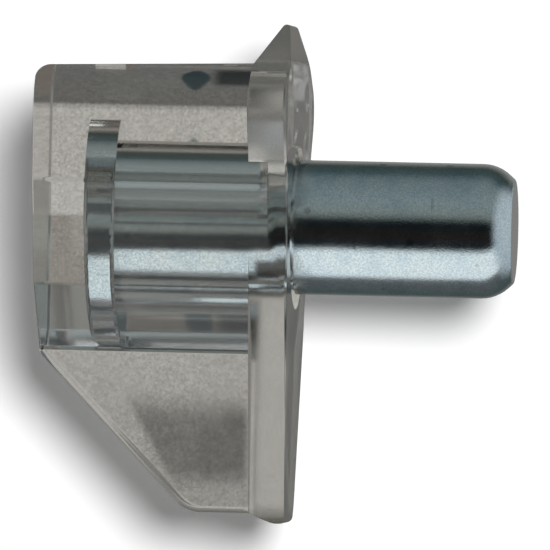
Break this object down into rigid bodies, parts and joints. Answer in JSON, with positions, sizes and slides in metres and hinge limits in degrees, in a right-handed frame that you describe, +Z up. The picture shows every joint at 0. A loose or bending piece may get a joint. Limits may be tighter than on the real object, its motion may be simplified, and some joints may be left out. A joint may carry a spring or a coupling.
{
  "type": "shelf support pin",
  "caption": "Clear moulded shelf bracket with a flat platform, a pointed back lip and a rib below, carried on a plain steel pin that plugs into a round hole.",
  "frame": {"origin": "on the pin's axis, in the plane of the bracket's back face", "axes": "+X along the pin, into the cabinet side; +Z up, the way the platform looks; +Y completes the right-handed frame"},
  "size_m": [0.0175, 0.012, 0.0185],
  "materials": {
    "bracket_plastic": "clear moulded polycarbonate, faintly grey, smooth",
    "sleeve_plastic": "clear moulded polycarbonate, smooth",
    "zinc_steel": "bright zinc plating with a faint blue cast, finely worn"
  },
  "bodies": {
    "root": {"support_body": "bracket_plastic", "pin_sleeve": "sleeve_plastic", "steel_pin": "zinc_steel"}
  },
  "joints": []
}
